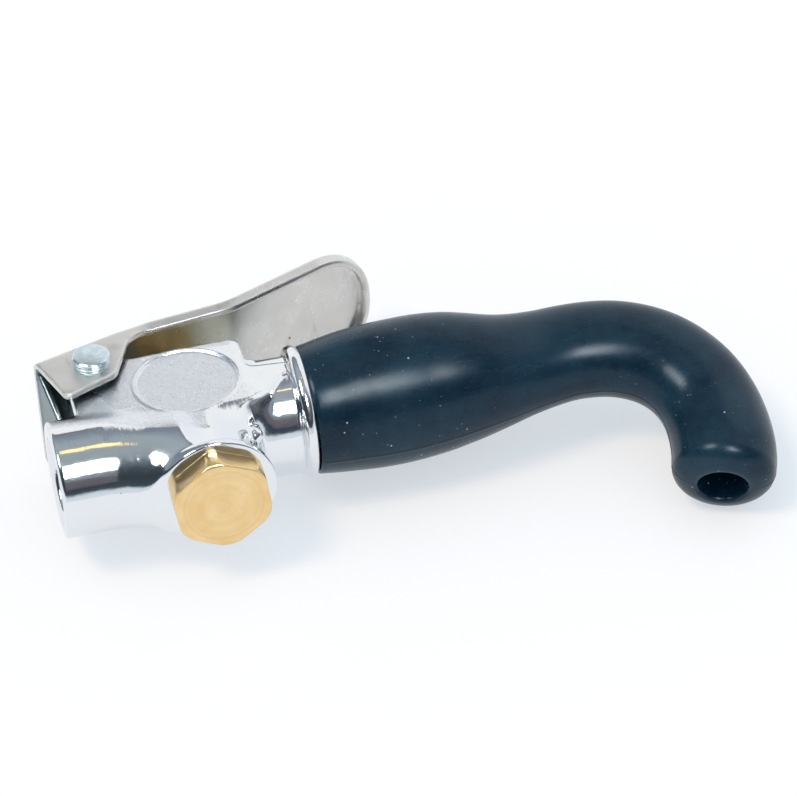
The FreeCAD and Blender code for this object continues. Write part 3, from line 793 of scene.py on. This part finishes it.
def nickel_sheet():
    """Dull nickel with stains and pits, and painted shade: darker inside the channel and darker still inside
    the heel.
    """
    m = Surface("nickel_sheet")
    smear = m.noise(110, 3.0, 0.6)
    pit = m.math("MULTIPLY", m.remap(m.cells(330.0), 0.12, 0.05), m.remap(m.noise(150), 0.56, 0.62))
    stain = m.remap(m.noise(140, 3.0, 0.7, (1.0, 1.0, 0.45)), 0.58, 0.75, 0.0, 0.5)
    colour = m.mix(m.remap(smear, 0.35, 0.7), rgb(0.80, 0.78, 0.75), rgb(0.73, 0.71, 0.67))
    colour = m.mix(stain, colour, rgb(0.40, 0.39, 0.36))
    # Painted shade: the colour is darkened inside the channel, where it stands for the dark the channel
    # mirrors, and more inside the heel's opening
    channel_painted_shade = m.mix(m.stored("hollow"), rgb(0.50, 0.48, 0.36), rgb(0.08, 0.15, 0.18))
    colour = m.mix(m.math("MULTIPLY", m.stored("channel"), 0.75), colour, channel_painted_shade)
    colour = m.mix(pit, colour, rgb(0.10, 0.09, 0.08))
    normal = m.bump(m.noise(300, 2.0), 0.00004)
    normal = m.bump(m.math("MULTIPLY", pit, -1.0), 0.0001, 1.0, normal)
    worn = m.math("MULTIPLY", m.stored("cheek"), 0.16)
    roughness = m.math("ADD", m.remap(smear, 0.3, 0.75, 0.24, 0.34), worn)
    return m.set(Base_Color=colour, Metallic=1.0, Normal=normal, Roughness=roughness)


def zinc_plate():
    m = Surface("zinc_plate")
    cloud = m.noise(420, 3.0, 0.6)
    colour = m.mix(m.remap(cloud, 0.35, 0.7), rgb(0.74, 0.86, 0.90), rgb(0.62, 0.75, 0.80))
    normal = m.bump(m.noise(900, 2.0), 0.00001)
    roughness = m.remap(cloud, 0.3, 0.7, 0.18, 0.28)
    return m.set(Base_Color=colour, Metallic=1.0, Roughness=roughness, Normal=normal)


def turned_brass(name, centre, axis, ring_depth):
    """Brass with the tool's rings about an axis."""
    m = Surface(name)
    offset = tuple(-c * MM for c in centre)
    across = tuple(0.0 if abs(a) > 0.5 else 1.0 for a in axis)
    moved = m.add("ShaderNodeVectorMath", {0: m.place(), 1: offset}, operation="ADD").outputs[0]
    flat = m.add("ShaderNodeVectorMath", {0: moved, 1: across}, operation="MULTIPLY").outputs[0]
    radius = m.add("ShaderNodeVectorMath", {0: flat}, operation="LENGTH").outputs["Value"]
    wobble = m.math("ADD", radius, m.math("MULTIPLY", m.noise(160, 2.0), 0.0007))
    fine = m.line_noise(wobble, 4200.0, 2.0)
    broad = m.line_noise(wobble, 900.0, 1.0)
    cloud = m.noise(210, 4.0, 0.6)
    speck = m.remap(m.noise(2300, 2.0), 0.70, 0.76, 0.0, 0.35)
    colour = m.mix(m.remap(cloud, 0.35, 0.68), rgb(1.0, 0.75, 0.40), rgb(0.95, 0.66, 0.30))
    colour = m.mix(m.remap(broad, 0.35, 0.7, 0.0, 0.35), colour, rgb(0.78, 0.58, 0.30))
    colour = m.mix(speck, colour, rgb(0.40, 0.26, 0.10))
    normal = m.bump(m.math("ADD", fine, broad), ring_depth)
    roughness = m.remap(cloud, 0.3, 0.7, 0.26, 0.36)
    return m.set(Base_Color=colour, Metallic=1.0, Roughness=roughness, Normal=normal)


def black_rubber():
    """Blue-black rubber with cloudy tone, a faint bloom, two sizes of dust and dull mould seams."""
    m = Surface("black_rubber")
    cloud = m.noise(85, 4.0, 0.62)
    streak = m.noise(260, 3.0, 0.6, (0.35, 1.0, 1.0))
    dust = m.math("MULTIPLY", m.remap(m.cells(300.0), 0.075, 0.045), m.remap(m.noise(60, 2.0), 0.46, 0.56))
    mote = m.remap(m.cells(620.0), 0.085, 0.05, 0.0, 0.6)
    mote = m.math("MULTIPLY", mote, m.remap(m.noise(45, 2.0), 0.48, 0.60))
    bloom = m.remap(m.noise(1400, 4.0, 0.7), 0.50, 0.80, 0.0, 0.35)
    colour = m.mix(m.remap(cloud, 0.35, 0.7), rgb(0.002, 0.014, 0.030), rgb(0.009, 0.033, 0.057))
    colour = m.mix(bloom, colour, rgb(0.03, 0.06, 0.08))
    colour = m.mix(m.math("MAXIMUM", dust, mote), colour, rgb(0.45, 0.50, 0.48))
    colour = m.mix(m.stored("seam"), colour, rgb(0.006, 0.009, 0.012))
    normal = m.bump(m.noise(2600, 3.0, 0.6), 0.000009)
    normal = m.bump(streak, 0.00002, 1.0, normal)
    roughness = m.remap(streak, 0.3, 0.7, 0.23, 0.31)
    return m.set(Base_Color=colour, Roughness=roughness, Normal=normal, Specular_IOR_Level=0.28,
                 Specular_Tint=rgb(0.85, 0.95, 1.0))


def drawn_steel():
    m = Surface("drawn_steel")
    cloud = m.noise(500, 3.0)
    colour = m.mix(m.remap(cloud, 0.3, 0.7), rgb(0.62, 0.62, 0.61), rgb(0.5084, 0.5084, 0.5002))
    normal = m.bump(m.noise(1800, 2.0, stretch=(1, 0.15, 1)), 0.00003)
    roughness = m.remap(cloud, 0.3, 0.7, 0.22, 0.32)
    return m.set(Base_Color=colour, Metallic=1.0, Roughness=roughness, Normal=normal)


def soft_solid(name, light, dark, rough):
    """Moulded rubber or pressed fibre, with a cloudy tone and a fine grain."""
    m = Surface(name)
    cloud = m.noise(700, 4.0, 0.6)
    colour = m.mix(m.remap(cloud, 0.3, 0.7), rgb(*dark), rgb(*light))
    roughness = m.remap(cloud, 0.3, 0.7, rough, rough + 0.12)
    return m.set(Base_Color=colour, Roughness=roughness, Normal=m.bump(cloud, 0.00005))


# Camera, at the photograph's own place and lens

LENS, SENSOR = 200.0, 36.0
# The directions of the picture's right and top
PICTURE_RIGHT = (0.9716, -0.2295, -0.0584)
PICTURE_TOP = (0.1821, 0.5668, 0.8035)


def add_camera():
    right = Vector(PICTURE_RIGHT).normalized()
    back = right.cross(Vector(PICTURE_TOP)).normalized()
    up = back.cross(right)
    data = bpy.data.cameras.new("camera")
    data.lens = LENS
    data.sensor_width = SENSOR
    data.clip_start = 0.05
    data.clip_end = 20.0
    camera = bpy.data.objects.new("camera", data)
    turn = Matrix((right, up, back)).transposed().to_4x4()
    camera.matrix_world = Matrix.Translation(Vector(CAMERA_AT) * MM) @ turn
    scene.collection.objects.link(camera)
    scene.camera = camera


add_camera()

# The pieces

chrome = chrome_casting()
nickel = nickel_sheet()
zinc = zinc_plate()
cap_brass = turned_brass("turned_brass", (CHAMBER_X, 0, 0), (0, 1, 0), 0.00004)
pipe_brass = turned_brass("pipe_brass", (0, RISE, 0), (1, 0, 0), 0.00001)
rubber = black_rubber()
steel = drawn_steel()
seal = soft_solid("seal_rubber", (0.035, 0.035, 0.035), (0.02, 0.02, 0.02), 0.55)
fibre = soft_solid("fibre", (0.30, 0.12, 0.07), (0.20, 0.07, 0.04), 0.6)

CASTING_STEP = 0.36
LEVER_STEP = 0.32
CAP_STEP = 0.2


def sand_cast(x, y, z):
    """How much sand-cast skin shows: all in the recess and on the web's left, less on its right."""
    inside_recess = (from_recess(x, y) < RECESS_R + 0.35) & (z > WEB - 1)
    border = np.interp(x, [0, 6, 12, 18, 24, 30], [2.0, 1.4, 0.4, -2.0, -4.5, -6.0])
    on_web = ramp(-0.4, 0.5, y - border) * ramp(10.2, 10.7, np.abs(z))
    polished_low = (1 - ramp(0.5, 2.5, y)) * ramp(30.8, 32.0, x)
    sand = on_web * (1 - polished_low) * (1 - ramp(41.0, 43.0, x))
    sand = np.maximum(sand, inside_recess * 1.0)
    right_band = ramp(31.2, 32.2, x) * (1 - inside_recess) * (1 - ramp(20.5, 21.8, y))
    return sand * (1 - right_band * 0.75)


def add_casting():
    body = skin("casting", casting, (-1, -15, -15), (56.2, 27, 15), CASTING_STEP)
    attribute(body, "sand", sand_cast(*places(body).T))
    body.data.materials.append(chrome)
    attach(body, "gun")
    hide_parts("valve_body")


def add_lever():
    plate = skin("lever_plate", lever_plate, (-1, 8, -14.2), (77.2, 49, 14.2), LEVER_STEP)
    x, y, z = places(plate).T
    slack = 0.2
    inside = (np.abs(z) < HALF - SHEET + slack) & (outline(x, y, UNDER) < slack - SHEET)
    # Masks for the painted shade in the nickel's colour: inside the channel, and more inside the heel
    attribute(plate, "channel", inside * (1 - ramp(40, 48, x)))
    attribute(plate, "hollow", 1 - ramp(19, 25, x))
    attribute(plate, "cheek", (1 - ramp(20, 26, x)) * (np.abs(z) > HALF - 0.4))
    plate.data.materials.append(nickel)
    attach(plate, "lever")
    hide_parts("lever")


def add_cap():
    cap = skin("hex_cap", brass_cap, (19.8, -18.7, -11.8), (43, -7, 11.8), CAP_STEP)
    cap.data.materials.append(cap_brass)
    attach(cap, "gun")
    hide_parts("valve_cap")


# A rivet head's profile from the cheek outwards, as (along, radius, rounding): the ring, its gap, and the
# head with one groove
RIVET_HEAD = [
    (0.0, 2.5, 0), (0.0, 3.7, 0), (0.7, 3.7, 0.2), (0.75, 3.4, 0.1), (0.95, 3.4, 0.1),
    (1.0, 3.95, 0.2), (1.5, 4.0, 0.15), (1.65, 3.85, 0.12), (1.8, 4.0, 0.15), (2.4, 3.98, 0.22),
    (2.68, 3.6, 0.2), (2.74, 0.5, 0)]


def add_rivet():
    for side, label in ((1, "near"), (-1, "far")):
        foot = (*PIVOT, (HALF + 0.05) * side)
        knob = lathe("rivet_" + label, round_profile(RIVET_HEAD), foot, (0, 0, side))
        knob.data.materials.append(zinc)
        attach(knob, "gun")
        if side > 0:
            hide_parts("rivet_washers")
    shank = lathe("rivet_shank", [(-13.0, 2.5), (13.0, 2.5)], (*PIVOT, 0), (0, 0, 1))
    shank.data.materials.append(zinc)
    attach(shank, "gun")
    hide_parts("lever_rivet")


def add_spout():
    hose = spout()
    hose.data.materials.append(rubber)
    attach(hose, "gun")
    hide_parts("rubber_spout")


def dress_nodes():
    """Every CAD node gets a finish, those that a piece replaces as well."""
    finishes = {
        "cap_gasket": fibre, "valve_seat": cap_brass, "valve_stem": steel, "disc_holder": cap_brass,
        "valve_disc": seal, "stem_packing": seal, "gland_bush": cap_brass, "valve_spring": steel,
        "spout_nipple": pipe_brass, "inlet_strainer": steel, "strainer_ring": pipe_brass,
        "valve_body": chrome, "lever": nickel, "valve_cap": cap_brass, "lever_rivet": zinc,
        "rivet_washers": zinc, "rubber_spout": rubber}
    for node, finish in finishes.items():
        materials = frame["nodes"][node].data.materials
        materials.clear()
        materials.append(finish)


add_casting()
add_lever()
add_cap()
add_rivet()
add_spout()
dress_nodes()

# The floor, the plane that the rivet's lower head, the spoon's rim and the spout's tip rest on


def resting_plane():
    """The plane's normal, and how far it is from the origin along that."""
    groups = [places(bpy.data.objects[n]) for n in ("rivet_far", "lever_plate", "spout_rubber")]
    normal = np.array(TABLE)
    for _ in range(12):
        a, b, c = [g[np.argmin(g @ normal)] for g in groups]
        normal = unit(np.cross(b - a, c - a))
        normal *= np.sign(normal[2])
    return Vector(normal), float(a @ normal)


def floor_material():
    """Pale paper that takes the shadow, and that the metal mirrors as lit. From below it is clear."""
    m = Surface("floor")
    m.set(Base_Color=(0.93, 0.93, 0.95, 1.0), Roughness=0.8, Specular_IOR_Level=0.0)
    path = m.add("ShaderNodeLightPath")
    pale = m.add("ShaderNodeEmission", {"Color": rgb(0.95, 1.0, 1.04), "Strength": 1.0})
    mirrored = m.add("ShaderNodeEmission", {"Color": rgb(0.84, 0.88, 0.92), "Strength": 1.0})
    seen_share = m.math("MULTIPLY", path.outputs["Is Camera Ray"], 0.55)
    paper = m.add("ShaderNodeMixShader", {0: seen_share, 1: m.shader, 2: pale})
    mirrored_share = m.math("MULTIPLY", path.outputs["Is Glossy Ray"], 0.70)
    paper = m.add("ShaderNodeMixShader", {0: mirrored_share, 1: paper, 2: mirrored})
    clear = m.add("ShaderNodeBsdfTransparent")
    below = m.add("ShaderNodeNewGeometry").outputs["Backfacing"]
    whole = m.add("ShaderNodeMixShader", {0: below, 1: paper, 2: clear})
    m.tree.links.new(whole.outputs[0], m.tree.nodes["Material Output"].inputs["Surface"])
    return m.material


def add_floor(normal, height):
    reach = 3000.0
    sideways = (Vector((1, 0, 0)) - normal * normal.x).normalized()
    away = normal.cross(sideways)
    middle = Vector((70, 0, 0))
    middle += normal * (height - middle.dot(normal))
    corners = [(middle + sideways * u + away * v) * MM for u, v in (
        (-reach, -reach), (reach, -reach), (reach, reach), (-reach, reach))]
    floor = mesh("floor", corners, [[0, 1, 2, 3]], False)
    floor.data.materials.append(floor_material())


upward, floor_height = resting_plane()
add_floor(upward, floor_height)

# The studio. To the eye and to soft light the world is plain. Metal and rubber mirror the paper low down,
# a dark room above it, a lamp box in front, another on the left and a small warm lamp overhead.

ROOM_TOP = (90, (0.34, 0.39, 0.41))
# Colours by degrees above the table, behind the object, and on the camera's side to the right and the left
BEHIND = [
    (-10, (0.90, 0.93, 0.97)), (30.5, (1.0, 1.0, 1.0)), (32, (0.10, 0.07, 0.09)), (33.5, (0.13, 0.11, 0.14)),
    (35.5, (0.20, 0.24, 0.28)), (44, (0.22, 0.27, 0.32)), (62, (0.36, 0.42, 0.46)), ROOM_TOP]
FRONT_RIGHT = [
    (-10, (0.72, 0.78, 0.84)), (8, (0.70, 0.76, 0.82)), (13, (0.06, 0.08, 0.10)), (21, (0.035, 0.055, 0.07)),
    (26, (0.13, 0.12, 0.14)), (36, (0.14, 0.13, 0.15)), (44, (0.26, 0.31, 0.36)), (60, (0.22, 0.27, 0.31)),
    (76, (0.33, 0.38, 0.40)), ROOM_TOP]
FRONT_LEFT = [
    (-10, (0.72, 0.78, 0.84)), (8, (0.70, 0.76, 0.82)), (13, (0.05, 0.07, 0.09)), (30, (0.04, 0.05, 0.06)),
    (50, (0.05, 0.07, 0.09)), (60, (0.10, 0.13, 0.15)), (72, (0.28, 0.33, 0.37)), ROOM_TOP]
SOFT_LIGHT = (0.76, 0.86, 0.97)
WARM_LAMP = (1.9, 1.35, 0.62)
# Each lamp box's degrees above the table, degrees to the right of the camera, soft edge and strength
LAMP_BOXES = [((49.5, 68.5), (4, 31), 2.0, 20.0), ((50, 66), (-98, -64), 3.0, 16.0)]

world = bpy.data.worlds.new("studio")
scene.world = world
world.use_nodes = True
world.cycles.sampling_method = "NONE"
world.node_tree.nodes.clear()
w = Nodes(world.node_tree)
front = (TO_CAMERA - upward * TO_CAMERA.dot(upward)).normalized()
rightward = upward.cross(front).normalized()


def band(value, low, high, soft):
    """1 between low and high, with soft ends."""
    a = w.remap(value, low - soft, low + soft)
    b = w.remap(value, high - soft, high + soft, 1.0, 0.0)
    return w.math("MULTIPLY", a, b)


def gradient(value, stops):
    """A colour that follows a value in degrees through (degrees, colour) stops."""
    low, high = stops[0][0], stops[-1][0]
    node = w.add("ShaderNodeValToRGB", {0: w.remap(value, low, high)})
    bar = node.color_ramp.elements
    while len(bar) < len(stops):
        bar.new(0.5)
    for stop, (at, level) in zip(bar, stops):
        stop.position = (at - low) / (high - low)
        stop.color = rgb(*level)
    return node.outputs[0]


def mirrored_studio():
    """The colour that a shiny surface finds in each direction."""
    ray = w.add("ShaderNodeTexCoord").outputs["Generated"]

    def part_of(axis):
        inputs = {0: ray, 1: tuple(axis)}
        return w.add("ShaderNodeVectorMath", inputs, operation="DOT_PRODUCT").outputs["Value"]

    fore, side = part_of(front), part_of(rightward)
    degrees = math.degrees(1)
    elevation = w.math("MULTIPLY", w.math("ARCSINE", part_of(upward)), degrees)
    azimuth = w.math("MULTIPLY", w.math("ARCTAN2", side, fore), degrees)
    edge_of_paper = w.math("ADD", w.math("MULTIPLY", side, 24.0), w.remap(side, 0.05, 0.16, 0.0, 24.0))
    behind = gradient(w.math("SUBTRACT", elevation, edge_of_paper), BEHIND)
    to_left = w.remap(azimuth, 5.0, -3.0)
    facing = w.mix(to_left, gradient(elevation, FRONT_RIGHT), gradient(elevation, FRONT_LEFT))
    tone = w.mix(w.remap(fore, -0.12, 0.12), behind, facing)
    for heights, widths, soft, strength in LAMP_BOXES:
        box = w.math("MULTIPLY", band(elevation, *heights, soft), band(azimuth, *widths, soft))
        tone = w.mix(box, tone, rgb(strength, strength, strength))
    warm = part_of((upward * 0.98 - front * 0.19 + rightward * 0.085).normalized())
    return w.mix(w.remap(warm, 0.9974, 0.9984), tone, rgb(*WARM_LAMP))


def light_world():
    path = w.add("ShaderNodeLightPath")
    colour = w.mix(path.outputs["Is Glossy Ray"], rgb(*SOFT_LIGHT), mirrored_studio())
    seen = w.math("MAXIMUM", path.outputs["Is Camera Ray"], path.outputs["Is Transmission Ray"])
    colour = w.mix(seen, colour, rgb(1, 1, 1))
    sky = w.add("ShaderNodeBackground", {"Color": colour, "Strength": 1.0})
    w.add("ShaderNodeOutputWorld", {"Surface": sky})


def add_key():
    """A warm sun from the left and above, which the metal doesn't mirror."""
    toward = (upward * 0.883 + front * 0.145 - rightward * 0.446).normalized()
    data = bpy.data.lights.new("key", "SUN")
    data.energy = 1.4
    data.angle = math.radians(18)
    data.color = (1.0, 0.72, 0.45)
    key = bpy.data.objects.new("key", data)
    key.rotation_mode = "QUATERNION"
    key.rotation_quaternion = (-toward).to_track_quat("-Z", "Y")
    key.visible_glossy = False
    scene.collection.objects.link(key)


light_world()
add_key()
scene.view_settings.view_transform = "Standard"
